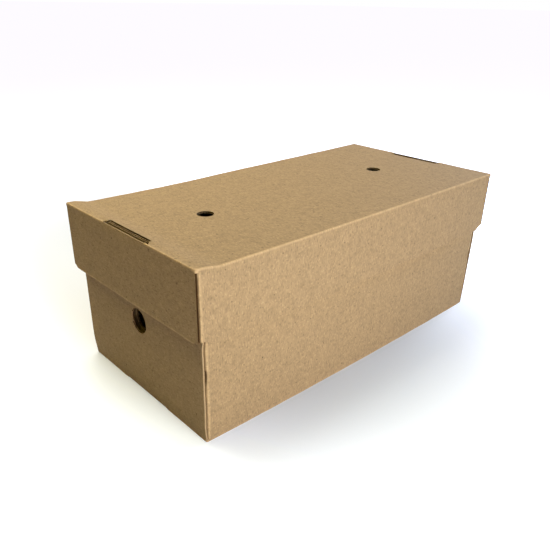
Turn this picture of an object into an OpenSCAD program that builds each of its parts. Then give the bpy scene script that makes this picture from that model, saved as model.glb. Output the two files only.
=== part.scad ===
// Corrugated kraft burger box for two burgers side by side.
// The tray and the lid are one cut and creased sheet each. Both fold up the same way:
// long walls with a glue-free corner flap at each end, and end walls that roll over
// the flaps and lock with a tab in a slot beside the end crease.
// Origin: middle of the tray's underside. X runs along the box, Z is up. Millimetres.

/* [Board] */
// Thickness of the corrugated board
board = 1.2; // [0.8:0.1:2]
// Inside radius of every crease
crease_r = 0.3; // [0.2:0.1:0.6]
// Air between the folded layers of an end wall
layer_gap = 0.2; // [0.1:0.05:0.5]

/* [Tray] */
// Outside length of the tray
tray_l = 235.4; // [190:0.2:320]
// Outside width of the tray
tray_w = 114; // [90:0.5:160]
// Height of the tray's long walls
tray_h = 94; // [70:0.5:140]
// Diameter of the finger hole in each end of the tray
finger_d = 14.5; // [8:0.5:24]
// Height of the finger hole's centre above the underside
finger_z = 46; // [20:0.5:50]
// How far the tray's end panels stop short of its long walls' faces
tray_end_inset = 0.1; // [0:0.1:1.5]

/* [Lid] */
// Depth of the lid's long skirts, board of the top included
skirt_d = 37.1; // [20:0.1:60]
// Play between the tray and the lid at each end
end_play = 0.5; // [0.2:0.1:2]
// Play between the tray and the lid at each long side
side_play = 1.8; // [0.3:0.1:3]
// Diameter of the two steam vents in the top
vent_d = 9.5; // [5:0.5:16]
// Distance between the centres of the steam vents
vent_pitch = 144; // [40:1:160]
// How far the lid's end panels stop short of its long skirts' faces
lid_end_inset = 0.5; // [0:0.1:1.5]

/* [Rolled end walls] */
// How far a rolled end edge stays below the edge of the long walls
roll_drop = 0.8; // [0:0.1:2]
// Length of the taper at each corner of a rolled edge
roll_taper_l = 7; // [4:0.5:12]
// Height of the taper at each corner of a rolled edge
roll_taper_h = 1.8; // [1.7:0.1:3]
// Play between an inner end panel and each long wall
panel_play = 0.6; // [0.2:0.1:2]

/* [Corner flaps] */
// Air between the top of a corner flap and the rolled edge over it
flap_play = 0.4; // [0.2:0.1:2]
// Length along which a long wall slopes down to its corner flap
wall_taper_l = 5; // [2:0.5:12]
// Distance from the free end of a corner flap to the slot's end
flap_stop = 6; // [2:0.5:12]
// Cut at the free corners of a flap
flap_cut = 4; // [1:0.5:8]

/* [Lock slots] */
// Length of the slot beside each end crease
slot_l = 39; // [20:1:60]
// Play between a tab and each end of its slot
tab_play = 0.5; // [0.2:0.1:2]
// Width of the slot that is left open beyond the tab
slot_play = 0.4; // [0.3:0.1:3]
// How far a tab's edge lies below the face that it locks into
tab_recess = 0.3; // [0:0.1:0.8]
// How far the end panel's cut edge lies below that face along the slot
lip_recess = 0.2; // [0:0.1:0.8]

/* [Hidden] */
$fn = 64;

kraft = [0.72, 0.59, 0.43];
outer_r = crease_r + board;                     // outside radius of a crease
end_stack = 3 * board + 2 * layer_gap;          // end panel, corner flap and inner panel
lid_l = tray_l + 2 * (end_stack + end_play);
lid_w = tray_w + 2 * (board + side_play);
lid_top = tray_h + board;                       // the lid rests on the tray's long walls
past = 1;                                       // how far a cut runs past the faces it opens

// Puts a piece at both ends of the box
module both_ends() {
    for (side = [0, 1])
        mirror([side, 0, 0]) children();
}

// Puts a piece at both long sides of the box
module both_sides() {
    for (side = [0, 1])
        mirror([0, side, 0]) children();
}

// Quarter ring of board round a crease: its axis is Z and it lies in the +X +Y quarter
module crease(length) {
    rotate_extrude(angle = 90)
        translate([crease_r, 0])
            square([board, length]);
}

// Panel that stands along X: its outline is drawn in X and Z, its outer face is at y = 0
module long_panel(outline) {
    rotate([90, 0, 0])
        linear_extrude(board)
            polygon(outline);
}

// Panel that stands along Y: its outline is drawn in Y and Z, its inner face is at x = 0
module end_panel(outline) {
    rotate([90, 0, 90])
        linear_extrude(board)
            polygon(outline);
}

// Long wall with the crease under it, and a corner flap folded in at each of its ends
module long_wall(l, w, wall_h, end_h) {
    flap_x = l / 2 - board - layer_gap;         // outer face of the corner flap
    straight = flap_x - outer_r;                // half the wall's length between its corners
    flap_top = end_h - board - flap_play;
    flap_foot = outer_r + layer_gap;
    flap_end = slot_l / 2 + flap_stop;
    translate([-straight, w / 2 - outer_r, outer_r])
        rotate([0, 90, 0])
            crease(2 * straight);
    translate([0, w / 2, 0])
        long_panel([
            [-straight, outer_r],
            [straight, outer_r],
            [straight, flap_top],
            [straight - wall_taper_l, wall_h],
            [wall_taper_l - straight, wall_h],
            [-straight, flap_top]
        ]);
    both_ends() {
        translate([straight, w / 2 - outer_r, flap_foot])
            crease(flap_top - flap_foot);
        translate([flap_x - board, 0, 0])
            end_panel([
                [w / 2 - outer_r, flap_foot],
                [w / 2 - outer_r, flap_top],
                [flap_end + flap_cut, flap_top],
                [flap_end, flap_top - flap_cut],
                [flap_end, flap_foot + flap_cut],
                [flap_end + flap_cut, flap_foot]
            ]);
    }
}

// Bottom panel with the crease to each end wall, open at the two lock slots
module floor_panel(l, w, end_half) {
    difference() {
        union() {
            translate([outer_r - l / 2, outer_r - w / 2, 0])
                cube([l - 2 * outer_r, w - 2 * outer_r, board]);
            both_ends()
                translate([l / 2 - outer_r, -end_half, outer_r])
                    rotate([-90, 0, 0])
                        crease(2 * end_half);
        }
        both_ends()
            translate([l / 2 - end_stack - slot_play, -slot_l / 2, -past])
                cube([end_stack + slot_play + past, slot_l, outer_r + past]);
    }
}

// End wall: outer panel, edge rolled over the corner flaps, inner panel and its lock tab
module end_wall(l, w, end_h, end_half) {
    inner_x = l / 2 - end_stack;                // face that looks into the box
    inner_half = w / 2 - board - panel_play;
    roll_z = end_h - outer_r;
    foot = board + layer_gap;
    tab_half = slot_l / 2 - tab_play;
    difference() {
        union() {
            translate([l / 2 - board, -end_half, outer_r])
                cube([board, 2 * end_half, roll_z - outer_r]);
            translate([l / 2 - outer_r, end_half, roll_z])
                rotate([90, 0, 0])
                    crease(2 * end_half);
            translate([inner_x + outer_r, -inner_half, end_h - board])
                cube([end_stack - 2 * outer_r, 2 * inner_half, board]);
            translate([inner_x + outer_r, inner_half, roll_z])
                mirror([1, 0, 0])
                    rotate([90, 0, 0])
                        crease(2 * inner_half);
            translate([inner_x, -inner_half, foot])
                cube([board, 2 * inner_half, roll_z - foot]);
        }
        both_sides()
            translate([inner_x - past, 0, 0])
                roll_taper(end_h, end_half);
    }
    translate([l / 2 - board, -slot_l / 2, lip_recess])
        cube([board, slot_l, outer_r - lip_recess]);
    translate([inner_x, -tab_half, tab_recess])
        cube([board, 2 * tab_half, foot - tab_recess]);
}

// Wedge that tapers the corner of a rolled edge
module roll_taper(end_h, end_half) {
    rotate([90, 0, 90])
        linear_extrude(end_stack + 2 * past)
            polygon([
                [end_half - roll_taper_l, end_h],
                [end_half, end_h - roll_taper_h],
                [end_half + past, end_h - roll_taper_h],
                [end_half + past, end_h + past],
                [end_half - roll_taper_l, end_h + past]
            ]);
}

// One folded sheet, open at the top, with the outer face of its bottom panel at z = 0
module rolled_tray(l, w, wall_h, end_inset) {
    end_h = wall_h - roll_drop;
    end_half = w / 2 - end_inset;
    floor_panel(l, w, end_half);
    both_sides() long_wall(l, w, wall_h, end_h);
    both_ends() end_wall(l, w, end_h, end_half);
}

module base_tray() {
    color(kraft)
        difference() {
            rolled_tray(tray_l, tray_w, tray_h, tray_end_inset);
            both_ends()
                translate([tray_l / 2 - end_stack - past, 0, finger_z])
                    rotate([0, 90, 0])
                        cylinder(d = finger_d, h = end_stack + 2 * past);
        }
}

module lid() {
    color(kraft)
        translate([0, 0, lid_top])
            rotate([180, 0, 0])
                difference() {
                    rolled_tray(lid_l, lid_w, skirt_d, lid_end_inset);
                    both_ends()
                        translate([vent_pitch / 2, 0, -past])
                            cylinder(d = vent_d, h = board + 2 * past);
                }
}

base_tray();
lid();
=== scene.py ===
import bmesh
import bpy
import math
from mathutils import Matrix, Vector, noise


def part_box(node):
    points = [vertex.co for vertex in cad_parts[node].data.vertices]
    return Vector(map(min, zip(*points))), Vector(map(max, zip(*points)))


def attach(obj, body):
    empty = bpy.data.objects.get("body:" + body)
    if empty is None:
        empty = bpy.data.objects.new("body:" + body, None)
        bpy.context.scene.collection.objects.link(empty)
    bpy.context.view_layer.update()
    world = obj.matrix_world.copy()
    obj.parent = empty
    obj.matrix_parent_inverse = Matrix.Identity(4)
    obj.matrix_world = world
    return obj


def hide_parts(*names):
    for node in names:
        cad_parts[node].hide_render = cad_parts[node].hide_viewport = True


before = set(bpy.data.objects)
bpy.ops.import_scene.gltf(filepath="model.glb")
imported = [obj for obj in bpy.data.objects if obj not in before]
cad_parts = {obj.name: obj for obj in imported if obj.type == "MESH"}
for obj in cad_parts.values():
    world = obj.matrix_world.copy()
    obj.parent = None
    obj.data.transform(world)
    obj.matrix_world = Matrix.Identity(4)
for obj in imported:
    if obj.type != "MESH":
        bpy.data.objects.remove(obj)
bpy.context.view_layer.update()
mm = 0.001
rightAngle = math.pi / 2
print("frame loaded:", sorted(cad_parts))

# The corrugated board that both sheets are cut from
board = {
    "thickness": 1.2 * mm,
    "creaseInside": 0.3 * mm,   # inside radius of a crease
    "layerGap": 0.2 * mm,       # air between the layers of an end wall
    "creaseSteps": 6,
    "gridStep": 4 * mm,
    "liner": 0.22 * mm,         # liner paper, seen at a cut edge
    "coreDepth": 0.3 * mm,      # how far the core lies behind the liners at a cut edge
    "coreSlope": 0.03 * mm,     # how far the sides of that sunk core lean in
    "strayShift": 30,           # how many times its due offset a cut edge's vertex may move
    "openDepth": 2.2 * mm,      # depth of the core where the cut runs across the flutes
    "flutePitch": 2.4 * mm,
    "fluteSteps": 12,
    "mediumThickness": 0.14 * mm,
    "mediumRecess": 0.08 * mm,
}

# Folds that the tray and the lid share
folds = {
    "rollDrop": 0.8 * mm,       # rolled edge below the long walls' edge
    "rollTaperLength": 7 * mm,
    "rollTaperHeight": 1.8 * mm,
    "panelPlay": 0.6 * mm,      # inner end panel to each long wall
    "flapPlay": 0.4 * mm,       # corner flap to the rolled edge over it
    "wallTaperLength": 5 * mm,
    "flapStop": 6 * mm,         # free end of a corner flap to the slot's end
    "flapCut": 4 * mm,
    "slotLength": 39 * mm,
    "slotPlay": 0.4 * mm,       # open width of a slot beyond its tab
    "tabPlay": 0.5 * mm,
    "tabSink": 0.8 * mm,        # tab's edge below the face that it locks into
    "lipRecess": 0.2 * mm,
    "lipLean": 0.35 * mm,       # how far the lip's cut edge leans in
    "lipCrush": 1.0 * mm,       # how far its inner liner is crushed down
    "squareness": 4,            # power of the curve that a pressed crease follows
    "bead": 0.16,               # raised ridge of a crease, as a share of its radius
    "beadUneven": 0.08,
    "beadLength": 14 * mm,
    "creaseReach": 1.05,        # how far past its radius a crease takes in vertices
    "creaseSlack": 0.1 * mm,    # the same past its ends
}

tray = {
    "node": "base_tray",
    "body": "tray",
    "endInset": 0.1 * mm,
    "fingerHole": 14.5 * mm,
    "fingerHeight": 46 * mm,
    "fingerField": 18 * mm,     # square of finer grid round the hole
    "edgeDepth": 0.12 * mm,     # the cut edges of its end panels are crushed shut
    "leftBelly": 0.5 * mm,      # how far the outer layer of the left end stands off
    "frontCurl": 0.5 * mm,      # the same, more at its front edge
    "rightBelly": 2.0 * mm,
    "footSkew": 0.6 * mm,       # how far the left bottom edge turns from square
    "bellyUnderLid": 0.35 * mm,
    "wallBow": 1.5 * mm,        # how far the long walls bow out along the bottom
    "bowTop": (45 * mm, 91 * mm),   # heights between which that bow dies out
    "bowStrip": (12 * mm, 2 * mm),  # the same across the bottom panel, from its long edges
    "wallSkin": 2 * mm,         # what counts as the long walls, from the outside
    "wallEnd": 3 * mm,
    "frontFrom": (10 * mm, 52 * mm),
    "leftFoot": 9 * mm,         # height over which the left end's belly begins
    "rightFoot": 50 * mm,       # the same at the right end
    "rightShape": 0.6,
    "lidFrom": 54.5 * mm,       # height at which the lid begins to hold the ends in
    "lidBlend": 4 * mm,
    "bellyTop": (66 * mm, 88 * mm),
    "skewHeight": 16 * mm,
    "skewReach": (30 * mm, 5 * mm),
    "skewOffset": 0.2,
    "waviness": 0.12 * mm,
}

lid = {
    "node": "lid",
    "body": "lid",
    "endInset": 0.5 * mm,
    "vent": 9.5 * mm,
    "ventOffset": 72 * mm,
    "ventField": 13 * mm,
    "edgeDepth": 1.4 * mm,      # the cut edges of its end panels fall in an open flute
    "skirtBow": 2.2 * mm,       # how far each long skirt bellies out at the middle of its edge
    "leftBelly": 0.4 * mm,      # how far the outer layer of each end stands off
    "rightBelly": 0.7 * mm,
    "frontRise": 1.6 * mm,      # how far the top springs up at the left end crease
    "backRise": 2.0 * mm,
    "riseStart": 14 * mm,       # where that rise starts and ends, from the end
    "riseEnd": 3 * mm,
    "backSag": 0.5 * mm,
    "sagPlace": -55 * mm,
    "sagReach": 62 * mm,
    "warp": 1.3 * mm,           # how far the top curls up towards its right end
    "warpStart": -50 * mm,
    "waviness": 0.15 * mm,
}

for piece in (tray, lid):
    low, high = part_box(piece["node"])
    piece["length"], piece["width"], piece["height"] = [high[i] - low[i] for i in range(3)]
    piece["low"], piece["high"] = low[2], high[2]


# Places along one axis: every stop, and even steps no longer than the grid's between them
def linesBetween(stops, step):
    places = sorted(set(round(stop, 7) for stop in stops))
    lines = []
    for here, there in zip(places, places[1:]):
        count = max(1, math.ceil((there - here) / step - 1e-6))
        lines += [here + (there - here) * i / count for i in range(count)]
    return lines + places[-1:]


def bothSigns(values):
    return [sign * value for value in values for sign in (-1, 1)]


# Row of evenly spaced stops across a square field round a hole
def fieldStops(centre, field, count=10):
    return [centre - field / 2 + field * i / count for i in range(count + 1)]


def newEdge(bm, start, end):
    return bm.edges.new((bm.verts.new(start), bm.verts.new(end)))


def edgesOf(geometry):
    return [item for item in geometry if isinstance(item, bmesh.types.BMEdge)]


def vertsOf(geometry):
    return [item for item in geometry if isinstance(item, bmesh.types.BMVert)]


# Turns an edge round a crease by a right angle and gives back the edge that it ends as
def fold(bm, edge, centre, axis, turn):
    spun = bmesh.ops.spin(
        bm, geom=[edge, *edge.verts], cent=centre, axis=axis, dvec=(0, 0, 0),
        angle=turn * rightAngle, steps=board["creaseSteps"], use_merge=False,
    )
    return edgesOf(spun["geom_last"])[0]


# Rounded corner where two creases meet: an arc of one, turned until it meets the other
def roundCorner(bm, pole, end, side):
    before = set(bm.edges)
    centre = pole + Vector((0, 0, board["creaseInside"] + board["thickness"] / 2))
    bmesh.ops.spin(
        bm, geom=[bm.verts.new(pole)], cent=centre, axis=(1, 0, 0), dvec=(0, 0, 0),
        angle=side * rightAngle, steps=board["creaseSteps"], use_merge=False,
    )
    arc = [e for e in bm.edges if e not in before]
    verts = set(v for e in arc for v in e.verts)
    bmesh.ops.spin(
        bm, geom=[*arc, *verts], cent=pole, axis=(0, 0, 1), dvec=(0, 0, 0),
        angle=-end * side * rightAngle, steps=board["creaseSteps"], use_merge=False,
    )


# Draws a flat panel out of an edge and gives back its far edge
def panel(bm, edge, offset):
    drawn = bmesh.ops.extrude_edge_only(bm, edges=[edge])["geom"]
    bmesh.ops.translate(bm, verts=vertsOf(drawn), vec=offset)
    return next(e for e in edgesOf(drawn) if all(v in vertsOf(drawn) for v in e.verts))


# Trims faces with a plane and drops what lies on the side that its normal points to
def trim(bm, faces, point, normal):
    geometry = set(faces)
    for face in faces:
        geometry.update(face.edges)
        geometry.update(face.verts)
    bmesh.ops.bisect_plane(
        bm, geom=list(geometry), dist=1e-7, plane_co=point, plane_no=normal, clear_outer=True,
    )


# Cuts the whole sheet along a set of lines across one axis
def ruleLines(bm, axis, places):
    normal = Vector((0, 0, 0))
    normal[axis] = 1
    for place in places:
        bmesh.ops.bisect_plane(
            bm, geom=bm.verts[:] + bm.edges[:] + bm.faces[:], dist=2e-6,
            plane_co=normal * place, plane_no=normal,
        )


# Round hole in a flat panel: the square field round it is opened and its border drawn in to a circle
def punch(bm, centre, axis, diameter, field):
    first, second = [i for i in range(3) if i != axis]

    def inField(point):
        near = all(abs(point[i] - centre[i]) < field / 2 + 1e-6 for i in (first, second))
        return near and abs(point[axis] - centre[axis]) < 0.1 * mm

    opened = [f for f in bm.faces if inField(f.calc_center_median())]
    bmesh.ops.delete(bm, geom=opened, context="FACES")
    border = [e for e in bm.edges if e.is_boundary and all(inField(v.co) for v in e.verts)]
    drawn = bmesh.ops.extrude_edge_only(bm, edges=border)["geom"]
    for vert in vertsOf(drawn):
        a, b = vert.co[first] - centre[first], vert.co[second] - centre[second]
        wide = abs(a) >= abs(b)
        turn = math.pi / 4 * (b / a if wide else a / b)
        reach = math.copysign(diameter / 2, a if wide else b)
        vert.co[first if wide else second] = centre[first if wide else second] + reach * math.cos(turn)
        vert.co[second if wide else first] = centre[second if wide else first] + reach * math.sin(turn)


# Middle surface of one folded sheet, open at the top, its bottom panel's outer face at z = 0
def foldSheet(piece):
    thick = board["thickness"]
    half = thick / 2
    outerR = board["creaseInside"] + thick
    length, width, wallHeight = piece["length"], piece["width"], piece["height"]
    stack = 3 * thick + 2 * board["layerGap"]
    endHeight = wallHeight - folds["rollDrop"]
    endHalf = width / 2 - piece["endInset"]
    innerHalf = width / 2 - thick - folds["panelPlay"]
    floorX, floorY = length / 2 - outerR, width / 2 - outerR
    flapX = length / 2 - thick - board["layerGap"]
    straight = flapX - outerR
    flapTop = endHeight - thick - folds["flapPlay"]
    flapEnd = folds["slotLength"] / 2 + folds["flapStop"]
    rollZ = endHeight - outerR
    innerFoot = thick + board["layerGap"]
    slotHalf = folds["slotLength"] / 2
    tabHalf = slotHalf - folds["tabPlay"]
    slotX = length / 2 - stack - folds["slotPlay"]
    innerX = length / 2 - stack
    bm = bmesh.new()

    # bottom panel
    floorEdge = newEdge(bm, (-floorX, -floorY, half), (floorX, -floorY, half))
    panel(bm, floorEdge, (0, 2 * floorY, 0))

    # long walls with their corner flaps
    for side in (-1, 1):
        edge = newEdge(bm, (-floorX, side * floorY, half), (floorX, side * floorY, half))
        fold(bm, edge, (0, side * floorY, outerR), (1, 0, 0), side)
        before = set(bm.faces)
        foot = [(end * straight, side * (width / 2 - half), outerR) for end in (-1, 1)]
        panel(bm, newEdge(bm, *foot), (0, 0, wallHeight - outerR))
        slope = wallHeight - flapTop
        for end in (-1, 1):
            wall = [f for f in bm.faces if f not in before]
            normal = Vector((end * slope, 0, folds["wallTaperLength"]))
            trim(bm, wall, (end * straight, 0, flapTop), normal)
            edge = newEdge(
                bm, (end * straight, side * (width / 2 - half), outerR),
                (end * straight, side * (width / 2 - half), flapTop),
            )
            edge = fold(bm, edge, (end * straight, side * floorY, 0), (0, 0, 1), -end * side)
            flapBefore = set(bm.faces)
            panel(bm, edge, (0, side * (flapEnd - floorY), 0))
            for level, up in ((flapTop, 1), (outerR, -1)):
                flap = [f for f in bm.faces if f not in flapBefore]
                corner = (0, side * flapEnd, level - up * folds["flapCut"])
                trim(bm, flap, corner, Vector((0, -side, up)))

    # end walls: outer panel, rolled edge, inner panel and lock tab
    for end in (-1, 1):
        before = set(bm.faces)
        edge = newEdge(bm, (end * floorX, -floorY, half), (end * floorX, floorY, half))
        fold(bm, edge, (end * floorX, 0, outerR), (0, 1, 0), -end)
        for side in (-1, 1):
            roundCorner(bm, Vector((end * floorX, side * floorY, half)), end, side)
        foot = [(end * (length / 2 - half), side * endHalf, outerR) for side in (-1, 1)]
        edge = panel(bm, newEdge(bm, *foot), (0, 0, rollZ - outerR))
        fold(bm, edge, (end * floorX, 0, rollZ), (0, 1, 0), -end)
        rollEdge = [(end * floorX, side * innerHalf, endHeight - half) for side in (-1, 1)]
        edge = panel(bm, newEdge(bm, *rollEdge), (end * (2 * outerR - stack), 0, 0))
        edge = fold(bm, edge, (end * (innerX + outerR), 0, rollZ), (0, 1, 0), -end)
        panel(bm, edge, (0, 0, innerFoot - rollZ))
        for side in (-1, 1):
            wall = [f for f in bm.faces if f not in before]
            normal = Vector((0, side * folds["rollTaperHeight"], folds["rollTaperLength"]))
            trim(bm, wall, (0, side * endHalf, endHeight - folds["rollTaperHeight"]), normal)
        tabEdge = [(end * (innerX + half), side * tabHalf, innerFoot) for side in (-1, 1)]
        panel(bm, newEdge(bm, *tabEdge), (0, 0, folds["tabSink"] - innerFoot))

    # even grid over the whole sheet, with lines at every corner of its outline
    xStops = bothSigns([straight - folds["wallTaperLength"], straight, floorX, slotX])
    yStops = bothSigns([slotHalf, tabHalf, flapEnd, flapEnd + folds["flapCut"], innerHalf, floorY])
    zStops = [outerR, innerFoot, flapTop, rollZ]
    if "vent" in piece:
        for end in (-1, 1):
            xStops += fieldStops(end * piece["ventOffset"], piece["ventField"])
        yStops += fieldStops(0, piece["ventField"])
    if "fingerHole" in piece:
        yStops += fieldStops(0, piece["fingerField"], 12)
        zStops += fieldStops(piece["fingerHeight"], piece["fingerField"], 12)
    for axis, stops in enumerate((xStops, yStops, zStops)):
        ruleLines(bm, axis, linesBetween(stops, board["gridStep"]))
    bmesh.ops.remove_doubles(bm, verts=bm.verts[:], dist=2e-6)

    # lock slots, with the outer panel's straight lip beside each
    def inSlot(face):
        centre = face.calc_center_median()
        return abs(centre.x) > slotX and abs(centre.y) < slotHalf and centre.z < outerR

    def isTab(face):
        centre = face.calc_center_median()
        return abs(centre.x) < innerX + thick and abs(face.normal.x) > 0.5

    bm.normal_update()
    opened = [f for f in bm.faces if inSlot(f) and not isTab(f)]
    bmesh.ops.delete(bm, geom=opened, context="FACES")
    lips = [
        e for e in bm.edges if e.is_boundary and all(
            abs(v.co.z - outerR) < 1e-6 and abs(v.co.y) < slotHalf + 1e-6
            and abs(v.co.x) > floorX for v in e.verts
        )
    ]
    drawn = bmesh.ops.extrude_edge_only(bm, edges=lips)["geom"]
    bmesh.ops.translate(bm, verts=vertsOf(drawn), vec=(0, 0, folds["lipRecess"] - outerR))

    # holes
    if "vent" in piece:
        for end in (-1, 1):
            punch(bm, Vector((end * piece["ventOffset"], 0, half)), 2, piece["vent"], piece["ventField"])
    if "fingerHole" in piece:
        for end in (-1, 1):
            for across in (length / 2 - half, innerX + half):
                centre = Vector((end * across, 0, piece["fingerHeight"]))
                punch(bm, centre, 0, piece["fingerHole"], piece["fingerField"])
    bmesh.ops.recalc_face_normals(bm, faces=bm.faces[:])
    print(piece["node"], "folded:", len(bm.faces), "faces")
    return bm


# Flat coordinates of the sheet in metres: u runs along the flutes, v across them
def flattenUv(bm, piece):
    layer = bm.loops.layers.uv.new("blank")
    half = board["thickness"] / 2
    outerR = board["creaseInside"] + board["thickness"]
    floorX, floorY = piece["length"] / 2 - outerR, piece["width"] / 2 - outerR
    flapX = piece["length"] / 2 - 3 * half - board["layerGap"]
    wallY = piece["width"] / 2 - half
    straight = flapX + half - outerR
    rollZ = piece["height"] - folds["rollDrop"] - outerR
    bm.normal_update()
    for face in bm.faces:
        centre = face.calc_center_median()
        x, y = abs(centre.x), abs(centre.y)
        lengthwise, sideways = abs(face.normal.x), abs(face.normal.y)
        corner = y > floorY and x > straight and centre.z > outerR
        onFlap = corner or (lengthwise > 0.7 and abs(x - flapX) < half)
        rolled = centre.z > rollZ and sideways < 0.5
        onEnd = x > floorX or lengthwise > 0.5 or rolled
        for loop in face.loops:
            x, y, z = loop.vert.co
            if onFlap:
                flat = (abs(x) + wallY - abs(y), wallY + z - half)
            elif onEnd:
                flat = (abs(x) + z - half, abs(y))
            elif abs(centre.y) > floorY:
                flat = (abs(x), abs(y) + z - half)
            else:
                flat = (abs(x), abs(y))
            loop[layer].uv = (math.copysign(flat[0], x), math.copysign(flat[1], y))


# Gives the middle surface its thickness, and applies it
def thicken(bm, name):
    mesh = bpy.data.meshes.new(name)
    bm.to_mesh(mesh)
    bm.free()
    sheet = bpy.data.objects.new(name, mesh)
    bpy.context.scene.collection.objects.link(sheet)
    solid = sheet.modifiers.new("board", "SOLIDIFY")
    solid.thickness = board["thickness"]
    solid.offset = 0
    solid.use_even_offset = True
    solid.use_quality_normals = True
    solid.use_rim = True
    solid.material_offset_rim = 1
    for slotName in ("liner", "edge"):
        mesh.materials.append(bpy.data.materials.new(slotName))
    evaluated = sheet.evaluated_get(bpy.context.evaluated_depsgraph_get())
    applied = bpy.data.meshes.new_from_object(evaluated)
    sheet.modifiers.clear()
    sheet.data = applied
    bpy.data.meshes.remove(mesh)
    applied.name = name
    return sheet


# Insets a strip of cut edge and gives back the faces round it. Where two cuts meet, the offset is
# divided by a cosine that rounding alone can set, so a vertex sent far off is drawn back.
def insetCut(bm, faces, thickness, depth):
    sides = bmesh.ops.inset_region(
        bm, faces=faces, thickness=thickness, depth=depth,
        use_boundary=True, use_even_offset=True,
    )["faces"]
    expected = math.hypot(thickness, depth)
    inner = set(v for f in faces for v in f.verts)
    drawnBack = 0
    for side in sides:
        for edge in side.edges:
            start, end = edge.verts
            if (start in inner) == (end in inner):
                continue
            vert, anchor = (start, end) if start in inner else (end, start)
            shift = vert.co - anchor.co
            if shift.length > expected * board["strayShift"]:
                vert.co = anchor.co + shift * (expected / shift.length)
                drawnBack += 1
    if drawnBack:
        print("cut edge vertices drawn back:", drawnBack)
    return sides


# Sinks the core between the two liners along every cut edge, deeply where the flutes end
def openEdges(bm, piece):
    slotHalf = folds["slotLength"] / 2
    slotX = piece["length"] / 2 - 3 * board["thickness"] - 2 * board["layerGap"] - folds["slotPlay"]
    outerR = board["creaseInside"] + board["thickness"]
    taperFoot = piece["height"] - folds["rollDrop"] - folds["rollTaperHeight"] - board["liner"]
    middle = (piece["length"] - board["thickness"]) / 2

    def acrossFlutes(face):
        centre = face.calc_center_median()
        if abs(centre.y) > slotHalf or centre.z > board["thickness"]:
            return False
        onFloor = abs(abs(centre.x) - slotX) < 0.1 * mm and abs(face.normal.x) > 0.9
        return onFloor or (abs(centre.x) > slotX and face.normal.z < -0.9)

    def onEndPanel(face):
        centre = face.calc_center_median()
        outside = abs(centre.x) > piece["length"] / 2 - board["thickness"]
        return outside and outerR < centre.z < taperFoot and abs(face.normal.y) > 0.9

    def onTaper(face):
        centre = face.calc_center_median()
        return centre.z > taperFoot and abs(centre.x) > slotX

    bm.normal_update()
    rims = [f for f in bm.faces if f.material_index == 1 and not onTaper(f)]
    deep = [f for f in rims if acrossFlutes(f)]
    upright = [f for f in rims if onEndPanel(f)]
    shallow = [f for f in rims if f not in set(deep + upright)]
    cuts = ((shallow, board["coreDepth"]), (upright, piece["edgeDepth"]), (deep, board["openDepth"]))
    for faces, depth in cuts:
        liners = insetCut(bm, faces, board["liner"], 0)
        walls = insetCut(bm, faces, board["coreSlope"], -depth)
        # painted shade: the sunk core takes the dark core colour
        for face in faces + walls:
            face.material_index = 2
        # painted shade: on the lid, and on the tray's inner layers, the whole upright cut edge of an end
        # panel, liners too, takes the dark core colour
        if faces is upright:
            for face in faces + walls + liners:
                outer = abs(face.calc_center_median().x) > middle - 0.3 * mm
                face.material_index = 1 if piece is tray and outer else 2


# Wavy strip of core: runs along one axis, waves across another and goes inward along the third
def fluteStrip(bm, middle, length, along, across, inward):
    waves = round(length / board["flutePitch"])
    made = bmesh.ops.create_grid(
        bm, x_segments=waves * board["fluteSteps"], y_segments=2, size=0.5,
    )
    reach = board["thickness"] / 2 - board["liner"] - board["mediumThickness"] / 2
    place = Matrix((along, inward, across)).transposed()
    for vert in made["verts"]:
        wave = math.sin(2 * math.pi * waves * (vert.co.x + 0.5))
        depth = board["mediumRecess"] + (vert.co.y + 0.5) * board["openDepth"]
        vert.co = place @ Vector((vert.co.x * length, depth, wave * reach)) + middle


# Fluted core at the slot's long cut edge and at the edge of the tab in it
def buildFlutes(piece):
    thick = board["thickness"]
    half = thick / 2
    length = piece["length"]
    slotLength = folds["slotLength"]
    tabLength = slotLength - 2 * folds["tabPlay"]
    stack = 3 * thick + 2 * board["layerGap"]
    slotX = length / 2 - stack - folds["slotPlay"]
    sideways, upwards, lengthwise = Vector((0, 1, 0)), Vector((0, 0, 1)), Vector((1, 0, 0))
    margin = 2 * board["liner"]
    bm = bmesh.new()
    for end in (-1, 1):
        floorEdge = Vector((end * slotX, 0, half))
        fluteStrip(bm, floorEdge, slotLength - margin, sideways, upwards, -end * lengthwise)
        tabEdge = Vector((end * (length / 2 - stack + half), 0, folds["tabSink"]))
        fluteStrip(bm, tabEdge, tabLength - margin, sideways, lengthwise, upwards)
    bmesh.ops.solidify(bm, geom=bm.faces[:], thickness=board["mediumThickness"])
    bmesh.ops.recalc_face_normals(bm, faces=bm.faces[:])
    return bm


# Smooth step from 0 to 1
def easeIn(value):
    value = min(1, max(0, value))
    return value * value * (3 - 2 * value)


# The same between two limits
def between(value, start, end):
    return easeIn((value - start) / (end - start))


# Slow unevenness of a panel, the same at every layer of the board
def unevenness(x, y, z, seed):
    return noise.noise(Vector((x, y, z)) * 22 + Vector((seed, seed * 2, seed * 3)))
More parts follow.
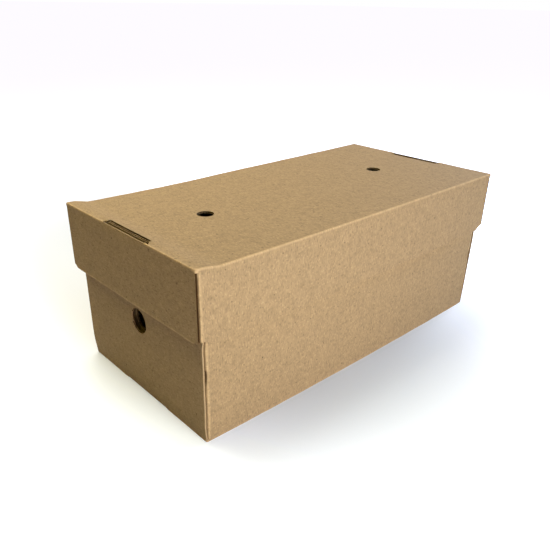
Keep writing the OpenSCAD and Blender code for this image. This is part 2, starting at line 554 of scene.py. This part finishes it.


# Presses every crease from a plain arc into a squarer, slightly beaded ridge, and marks its ridge for a
# painted highlight
def pressCreases(bm, piece):
    # painted highlight: this mask along the ridge of each crease lightens the paper's colour there
    ridge = bm.verts.layers.float.new("ridge")
    thick = board["thickness"]
    outerR = board["creaseInside"] + thick
    floorX, floorY = piece["length"] / 2 - outerR, piece["width"] / 2 - outerR
    straight = floorX - thick - board["layerGap"]
    rollZ = piece["height"] - folds["rollDrop"] - outerR
    innerRoll = piece["length"] / 2 - 3 * thick - 2 * board["layerGap"] + outerR
    innerHalf = piece["width"] / 2 - thick - folds["panelPlay"] / 2
    slotHalf = folds["slotLength"] / 2
    power = folds["squareness"]
    reach = outerR * folds["creaseReach"]
    slack = folds["creaseSlack"]
    x, y, z = 0, 1, 2
    # each crease: two axes with its centre and outward side on each, the axis along it, and its place
    creases = (
        (y, floorY, 1, z, outerR, -1, x, lambda p: p[x] < floorX + slack),
        (x, floorX, 1, z, outerR, -1, y, lambda p: slotHalf - slack < p[y] < floorY + slack),
        (x, straight, 1, y, floorY, 1, z, lambda p: p[z] > outerR - 0.01 * mm),
        (x, floorX, 1, z, rollZ, 1, y, lambda p: True),
        (x, innerRoll, -1, z, rollZ, 1, y, lambda p: p[y] < innerHalf),
    )
    for vert in bm.verts:
        place = [abs(vert.co.x), abs(vert.co.y), vert.co.z]
        corner = Vector((place[x] - floorX, place[y] - floorY, outerR - place[z]))
        if min(corner.x, corner.y) > 1e-7 and corner.z > -1e-7 and corner.length < reach:
            part = corner.normalized()
            peak = min(1, 2 * (part.x * part.y + part.y * part.z + part.z * part.x)) ** 2
            square = (part.x ** power + part.y ** power + abs(part.z) ** power) ** (-1 / power)
            corner *= square * (1 + peak * folds["bead"])
            vert.co.x = math.copysign(floorX + corner.x, vert.co.x)
            vert.co.y = math.copysign(floorY + corner.y, vert.co.y)
            vert.co.z = outerR - corner.z
            if corner.length > thick:
                vert[ridge] = peak ** 2
            continue
        for first, centreA, sideA, second, centreB, sideB, along, applies in creases:
            a = (place[first] - centreA) * sideA
            b = (place[second] - centreB) * sideB
            radius = math.hypot(a, b)
            if min(a, b) < 1e-7 or radius > reach or not applies(place):
                continue
            square = ((a / radius) ** power + (b / radius) ** power) ** (-1 / power)
            peak = (2 * a * b / radius ** 2) ** 2
            beads = noise.noise(Vector((vert.co[along] / folds["beadLength"], first + 3.3, 7.7)))
            pushed = square * (1 + peak * (folds["bead"] + folds["beadUneven"] * beads))
            vert.co[first] += a * (pushed - 1) * sideA * math.copysign(1, vert.co[first])
            vert.co[second] += b * (pushed - 1) * sideB * math.copysign(1, vert.co[second])
            if radius > thick:
                vert[ridge] = peak ** 2
        leaning = place[x] > floorX and place[y] < slotHalf + slack and place[z] < outerR
        if leaning:
            vert.co.x -= math.copysign(folds["lipLean"] * (1 - place[z] / outerR), vert.co.x)
            if place[x] < piece["length"] / 2 - thick + 1.5 * board["liner"]:
                vert.co.z += folds["lipCrush"] * (1 - place[z] / outerR)


# How the real tray departs from straight folds
def settleTray(point):
    x, y, z = point
    length, width, height = tray["length"], tray["width"], tray["height"]
    side = math.copysign(1, y)
    along = max(0, math.cos(math.pi * x / length)) ** 0.7
    nearWall = between(abs(y), *[width / 2 - inset for inset in tray["bowStrip"]])
    y += side * tray["wallBow"] * along * nearWall * (1 - between(z, *tray["bowTop"]))
    if abs(y) > width / 2 - tray["wallSkin"] and abs(x) < length / 2 - tray["wallEnd"]:
        y += tray["waviness"] * unevenness(x, 0, z, 3) * along * math.sin(math.pi * min(1, z / height))
    outward = abs(x) - (length / 2 - board["thickness"] - board["layerGap"] / 2)
    if outward > 0:
        if x < 0:
            belly = tray["leftBelly"] + tray["frontCurl"] * between(-y, *tray["frontFrom"])
            belly *= easeIn(z / tray["leftFoot"])
        else:
            belly = tray["rightBelly"] * min(1, max(0, z) / tray["rightFoot"]) ** tray["rightShape"]
        underLid = min(belly, tray["bellyUnderLid"])
        belly += (underLid - belly) * easeIn((z - tray["lidFrom"]) / tray["lidBlend"])
        x += math.copysign(belly * (1 - between(z, *tray["bellyTop"])), x)
    foot = between(-x, *[length / 2 - inset for inset in tray["skewReach"]])
    foot *= 1 - easeIn(z / tray["skewHeight"])
    x += tray["footSkew"] * (y / (width / 2) + tray["skewOffset"]) * foot
    return Vector((x, y, z))


# How the real lid departs from straight folds
def settleLid(point):
    x, y, z = point
    length, width, top = lid["length"], lid["width"], lid["high"]
    side = math.copysign(1, y)
    down = (top - z) / lid["height"]
    along = max(0, math.cos(math.pi * x / length)) ** 0.8
    if abs(y) > width / 2 - 2 * mm:
        y += side * lid["skirtBow"] * along * easeIn(down * 0.85) / easeIn(0.85)
        y += lid["waviness"] * unevenness(x, 1, z, 5) * along * down
    if down < 0.06:
        z += lid["waviness"] * 2 * unevenness(x, y, 0, 7) * along * math.cos(math.pi * y / width)
    towardsBack = y / width + 0.5
    rise = lid["frontRise"] + (lid["backRise"] - lid["frontRise"]) * towardsBack
    rise *= easeIn((-x - (length / 2 - lid["riseStart"])) / (lid["riseStart"] - lid["riseEnd"]))
    rise += lid["warp"] * max(0, (x - lid["warpStart"]) / (length / 2 - lid["warpStart"])) ** 1.6
    sag = math.cos(min(1, abs(x - lid["sagPlace"]) / lid["sagReach"]) * math.pi) * 0.5 + 0.5
    rise -= lid["backSag"] * sag * easeIn(y / (width / 2))
    z += rise * (1 - down)
    if abs(x) > length / 2 - board["thickness"] - board["layerGap"] / 2:
        x += lid["rightBelly"] if x > 0 else -lid["leftBelly"]
    return Vector((x, y, z))


# Moves every vertex of a piece to where the real sheet has settled
def settle(bm, rule):
    for vert in bm.verts:
        vert.co = rule(vert.co)


# Turns a sheet upside down, as the lid lies on the tray
def turnOver(bm, top):
    bmesh.ops.rotate(bm, verts=bm.verts[:], cent=(0, 0, 0), matrix=Matrix.Rotation(math.pi, 3, "X"))
    bmesh.ops.translate(bm, verts=bm.verts[:], vec=(0, 0, top))


# Smooth shading that keeps every edge sharper than this angle
def shade(bm, sharpest=math.radians(32)):
    for face in bm.faces:
        face.smooth = True
    for edge in bm.edges:
        edge.smooth = not edge.is_manifold or edge.calc_face_angle(0) < sharpest


def finishPiece(bm, sheet, piece, rule):
    if piece is lid:
        turnOver(bm, lid["high"])
    settle(bm, rule)
    shade(bm)
    bm.to_mesh(sheet.data)
    bm.free()
    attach(sheet, piece["body"])


# One small class for shader maths: it wraps a socket, and sums on it add Math nodes
class Wire:
    def __init__(self, tree, output=None):
        self.tree = tree
        self.output = output

    def node(self, kind, settings=None, values=None, give=0):
        made = self.tree.nodes.new(kind)
        for name, value in (settings or {}).items():
            if name == "stops":
                for spare in made.color_ramp.elements[1:]:
                    made.color_ramp.elements.remove(spare)
                made.color_ramp.elements[0].position = value[0][0]
                made.color_ramp.elements[0].color = value[0][1]
                for place, colour in value[1:]:
                    made.color_ramp.elements.new(place).color = colour
            else:
                setattr(made, name, value)
        for name, value in (values or {}).items():
            if isinstance(value, Wire):
                self.tree.links.new(value.output, made.inputs[name])
            else:
                made.inputs[name].default_value = value
        return Wire(self.tree, made.outputs[give])

    def maths(self, operation, first, second):
        return self.node("ShaderNodeMath", {"operation": operation}, {0: first, 1: second})

    def __add__(self, other):
        return self.maths("ADD", self, other)

    def __radd__(self, other):
        return self.maths("ADD", other, self)

    def __sub__(self, other):
        return self.maths("SUBTRACT", self, other)

    def __rsub__(self, other):
        return self.maths("SUBTRACT", other, self)

    def __mul__(self, other):
        return self.maths("MULTIPLY", self, other)

    def __rmul__(self, other):
        return self.maths("MULTIPLY", other, self)


kraft = {
    "colour": (0.304, 0.199, 0.097),    # linear
    "edgeColour": (0.34, 0.23, 0.12),
    # painted shade: far darker than the paper, it stands in for the shade inside the sunk core and the
    # flutes of a cut edge
    "coreShadeColour": (0.13, 0.072, 0.028),
    "roughness": 0.82,
    "specular": 0.25,
    "cloud": 0.05,          # slow change of shade, as a share of the colour
    "blotch": 0.12,
    "mottle": 0.20,
    "fibre": 0.17,
    "fleck": 0.20,
    "speck": 0.5,
    "ridge": 0.5,           # how much lighter the paper is painted along the ridge of a crease: a painted highlight
    "grain": 0.03 * mm,     # height of the paper's grain
}


# Value from 0 to 1 that rises between two limits
def ramp(start, value, low, high):
    return start.node(
        "ShaderNodeMapRange", {"clamp": True, "interpolation_type": "SMOOTHSTEP"},
        {"Value": value, "From Min": low, "From Max": high},
    )


# Outer paper of the board: cloudy shade, fibres across the flutes, light and dark flecks, and a painted
# highlight along each crease's ridge
def kraftPaper(name, shift):
    material = bpy.data.materials.new(name)
    material.use_nodes = True
    tree = material.node_tree
    shader = tree.nodes["Principled BSDF"]
    start = Wire(tree)
    blank = start.node("ShaderNodeTexCoord", give="UV")

    def stretched(alongFlutes, acrossFlutes, offset):
        return start.node(
            "ShaderNodeMapping", {"vector_type": "POINT"},
            {"Vector": blank, "Scale": (alongFlutes, acrossFlutes, 1),
             "Location": (shift + offset, shift - offset, shift)},
        )

    def clouds(alongFlutes, acrossFlutes, offset, detail=2.0):
        return start.node(
            "ShaderNodeTexNoise", {"noise_dimensions": "2D"},
            {"Vector": stretched(alongFlutes, acrossFlutes, offset), "Scale": 1.0,
             "Detail": detail, "Roughness": 0.55},
        )

    slow = clouds(60, 45, 3.1)
    blotch = clouds(190, 150, 41.3)
    mottle = clouds(420, 300, 7.7, 3.0)
    fibre = clouds(1900, 420, 11.3, 1.0)
    lightFleck = ramp(start, clouds(1300, 700, 17.9, 0.0), 0.66, 0.78)
    darkFleck = ramp(start, clouds(1100, 620, 23.5, 0.0), 0.68, 0.80)
    cell = start.node(
        "ShaderNodeTexVoronoi", {"voronoi_dimensions": "2D", "feature": "F1"},
        {"Vector": stretched(55, 55, 31.0), "Scale": 1.0, "Randomness": 1.0}, "Distance",
    )
    speck = 1 - ramp(start, cell, 0.012, 0.03)
    # painted highlight: lighter paper along the ridge of each crease
    ridge = start.node("ShaderNodeAttribute", {"attribute_name": "ridge"}, give="Fac")
    shade = (
        1 + (slow - 0.5) * (2 * kraft["cloud"]) + (blotch - 0.5) * (2 * kraft["blotch"])
        + (mottle - 0.5) * (2 * kraft["mottle"]) + ridge * kraft["ridge"]
        + (fibre - 0.5) * (2 * kraft["fibre"]) + lightFleck * kraft["fleck"]
        - darkFleck * kraft["fleck"] - speck * kraft["speck"]
    )
    colour = start.node(
        "ShaderNodeVectorMath", {"operation": "SCALE"}, {0: kraft["colour"], "Scale": shade},
    )
    tree.links.new(colour.output, shader.inputs["Base Color"])
    shader.inputs["Roughness"].default_value = kraft["roughness"]
    shader.inputs["Specular IOR Level"].default_value = kraft["specular"]
    height = mottle * 0.6 + fibre * 0.4 + lightFleck * 0.3
    bump = start.node(
        "ShaderNodeBump", None, {"Strength": 1.0, "Distance": kraft["grain"], "Height": height},
        "Normal",
    )
    tree.links.new(bump.output, shader.inputs["Normal"])
    return material


# Cut board: two lines of liner paper with the rough core between them. Given the core's dark tint, it is
# painted shade for the sunk core and its flutes.
def cutBoard(name, tint):
    material = bpy.data.materials.new(name)
    material.use_nodes = True
    tree = material.node_tree
    shader = tree.nodes["Principled BSDF"]
    start = Wire(tree)
    place = start.node("ShaderNodeTexCoord", give="Object")
    fuzz = start.node(
        "ShaderNodeTexNoise", None,
        {"Vector": place, "Scale": 1500.0, "Detail": 2.0, "Roughness": 0.6},
    )
    slow = start.node("ShaderNodeTexNoise", None, {"Vector": place, "Scale": 240.0, "Detail": 1.0})
    shade = 0.8 + (fuzz - 0.5) * 0.5 + slow * 0.4
    colour = start.node("ShaderNodeVectorMath", {"operation": "SCALE"}, {0: tint, "Scale": shade})
    tree.links.new(colour.output, shader.inputs["Base Color"])
    shader.inputs["Roughness"].default_value = 0.95
    shader.inputs["Specular IOR Level"].default_value = 0.1
    bump = start.node(
        "ShaderNodeBump", None, {"Strength": 1.0, "Distance": 0.06 * mm, "Height": fuzz}, "Normal",
    )
    tree.links.new(bump.output, shader.inputs["Normal"])
    return material


def buildSheet(piece, name, rule, shift):
    surface = foldSheet(piece)
    flattenUv(surface, piece)
    sheet = thicken(surface, name)
    bm = bmesh.new()
    bm.from_mesh(sheet.data)
    openEdges(bm, piece)
    pressCreases(bm, piece)
    sheet.data.materials.clear()
    sheet.data.materials.append(kraftPaper(name + "Paper", shift))
    sheet.data.materials.append(cutBoard(name + "Edge", kraft["edgeColour"]))
    sheet.data.materials.append(cutBoard(name + "Core", kraft["coreShadeColour"]))
    finishPiece(bm, sheet, piece, rule)
    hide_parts(piece["node"])
    flutes = bpy.data.objects.new(name + "Flutes", bpy.data.meshes.new(name + "Flutes"))
    bpy.context.scene.collection.objects.link(flutes)
    # painted shade: the flutes take the dark core colour
    flutes.data.materials.append(sheet.data.materials[2])
    finishPiece(buildFlutes(piece), flutes, piece, rule)
    print(name, "built:", len(sheet.data.polygons), "faces,", len(flutes.data.polygons), "in its flutes")


buildSheet(tray, "traySheet", settleTray, 4.0)
buildSheet(lid, "lidSheet", settleLid, 9.0)


studio = {
    "floorShade": 0.75,
    "fadeCentre": (-0.005, 0.097, 0.0),
    "fadeStretch": (2.04, 1.0, 1.0),
    "fadeStart": 0.16,          # metres from there at which the floor starts to glow white
    "fadeEnd": 0.45,
    "fadeColour": (0.92, 0.95, 1.05),
    "floorSize": 30.0,
    "aim": (0, 0, 0.05),
    # place in metres, width, colour and watts of each softbox
    "softboxes": {
        "topSoftbox": ((-0.05, 0.30, 0.60), 0.5, (0.83, 0.89, 1.0), 4.38),
        "nearSoftbox": ((-0.15, 0.12, 0.45), 0.4, (1.0, 0.94, 0.10), 0.99),
        "cornerSoftbox": ((-0.12, -0.30, 0.15), 0.1, (0.62, 0.90, 1.0), 0.29),
        "lowSoftbox": ((-0.10, -0.40, 0.02), 0.3, (1.0, 0.83, 0.76), 1.68),
        "rightSoftbox": ((0.50, -0.10, 0.25), 0.3, (0.56, 0.77, 1.0), 2.7),
        "farSoftbox": ((0.0, -0.80, 0.10), 0.5, (0.78, 0.89, 1.0), 4.01),
    },
    # direction, degrees across, colour and strength of each wide soft light
    "fills": {
        "skyFill": ((0.2, 0.8, 1.5), 100, (1.0, 0.2, 0.2), 0.25),
        "sideFill": ((1.0, 0.1, 0.4), 60, (0.45, 0.1, 1.0), 0.45),
    },
}


# Camera of the photograph: place in metres, turn in degrees, lens in pixels of its 550
camera = {
    "place": (-0.2537, -0.2465, 0.1982),
    "azimuth": -43.17,
    "elevation": 26.84,
    "roll": 1.01,
    "focalPixels": 589.0,
    "centrePixels": (270.8, 299.1),
    "framePixels": 550.0,
    "sensor": 36.0,
}


def placeCamera():
    azimuth, elevation = math.radians(camera["azimuth"]), math.radians(camera["elevation"])
    back = Vector((
        math.sin(azimuth) * math.cos(elevation),
        -math.cos(azimuth) * math.cos(elevation),
        math.sin(elevation),
    ))
    right = Vector((math.cos(azimuth), math.sin(azimuth), 0))
    up = back.cross(right)
    turn = Matrix((right, up, back)).transposed()
    turn = turn @ Matrix.Rotation(math.radians(camera["roll"]), 3, "Z")
    data = bpy.data.cameras.new("photoCamera")
    data.sensor_width = camera["sensor"]
    data.sensor_fit = "HORIZONTAL"
    data.lens = camera["focalPixels"] / camera["framePixels"] * camera["sensor"]
    data.shift_x = (camera["framePixels"] / 2 - camera["centrePixels"][0]) / camera["framePixels"]
    data.shift_y = (camera["centrePixels"][1] - camera["framePixels"] / 2) / camera["framePixels"]
    data.clip_start = 0.01
    data.clip_end = 100
    seen = bpy.data.objects.new("photoCamera", data)
    seen.matrix_world = Matrix.Translation(camera["place"]) @ turn.to_4x4()
    bpy.context.scene.collection.objects.link(seen)
    bpy.context.scene.camera = seen


def placeLamp(data, place, direction):
    lamp = bpy.data.objects.new(data.name, data)
    turn = Vector(direction).to_track_quat("Z", "Y").to_matrix().to_4x4()
    lamp.matrix_world = Matrix.Translation(place) @ turn
    bpy.context.scene.collection.objects.link(lamp)


def placeLights():
    for name, (place, width, colour, watts) in studio["softboxes"].items():
        box = bpy.data.lights.new(name, "AREA")
        box.energy = watts
        box.size = width
        box.color = colour
        placeLamp(box, place, Vector(place) - Vector(studio["aim"]))
    for name, (direction, angle, colour, strength) in studio["fills"].items():
        fill = bpy.data.lights.new(name, "SUN")
        fill.energy = strength
        fill.angle = math.radians(angle)
        fill.color = colour
        placeLamp(fill, (0, 0, 0), direction)


def buildStudio():
    bm = bmesh.new()
    bmesh.ops.create_grid(bm, x_segments=1, y_segments=1, size=studio["floorSize"])
    bmesh.ops.translate(bm, verts=bm.verts[:], vec=(0, 0, -0.02 * mm))
    mesh = bpy.data.meshes.new("floor")
    bm.to_mesh(mesh)
    bm.free()
    floor = bpy.data.objects.new("floor", mesh)
    bpy.context.scene.collection.objects.link(floor)
    material = bpy.data.materials.new("floor")
    material.use_nodes = True
    shader = material.node_tree.nodes["Principled BSDF"]
    start = Wire(material.node_tree)
    # painted light: away from the box the floor glows white, seen by the camera alone, and the fade of
    # that glow towards the box shapes the shadow round it
    place = start.node(
        "ShaderNodeVectorMath", {"operation": "SUBTRACT"},
        {0: start.node("ShaderNodeTexCoord", give="Object"), 1: studio["fadeCentre"]},
    )
    place = start.node(
        "ShaderNodeVectorMath", {"operation": "MULTIPLY"}, {0: place, 1: studio["fadeStretch"]},
    )
    away = start.node("ShaderNodeVectorMath", {"operation": "LENGTH"}, {0: place}, "Value")
    seen = start.node("ShaderNodeLightPath", give="Is Camera Ray")
    glow = ramp(start, away, studio["fadeStart"], studio["fadeEnd"]) * seen
    white = start.node(
        "ShaderNodeVectorMath", {"operation": "SCALE"}, {0: studio["fadeColour"], "Scale": glow},
    )
    material.node_tree.links.new(white.output, shader.inputs["Emission Color"])
    shader.inputs["Emission Strength"].default_value = 1.0
    shader.inputs["Base Color"].default_value = [studio["floorShade"]] * 3 + [1]
    shader.inputs["Roughness"].default_value = 1.0
    shader.inputs["Specular IOR Level"].default_value = 0.0
    mesh.materials.append(material)
    placeLights()
    world = bpy.data.worlds.new("studio")
    bpy.context.scene.world = world
    world.use_nodes = True
    start = Wire(world.node_tree)
    seen = start.node("ShaderNodeLightPath", give="Is Camera Ray")
    world.node_tree.links.new(seen.output, world.node_tree.nodes["Background"].inputs["Strength"])
    world.node_tree.nodes["Background"].inputs["Color"].default_value = (1, 1, 1, 1)
    bpy.context.scene.view_settings.view_transform = "Standard"


placeCamera()
buildStudio()
print("studio ready")
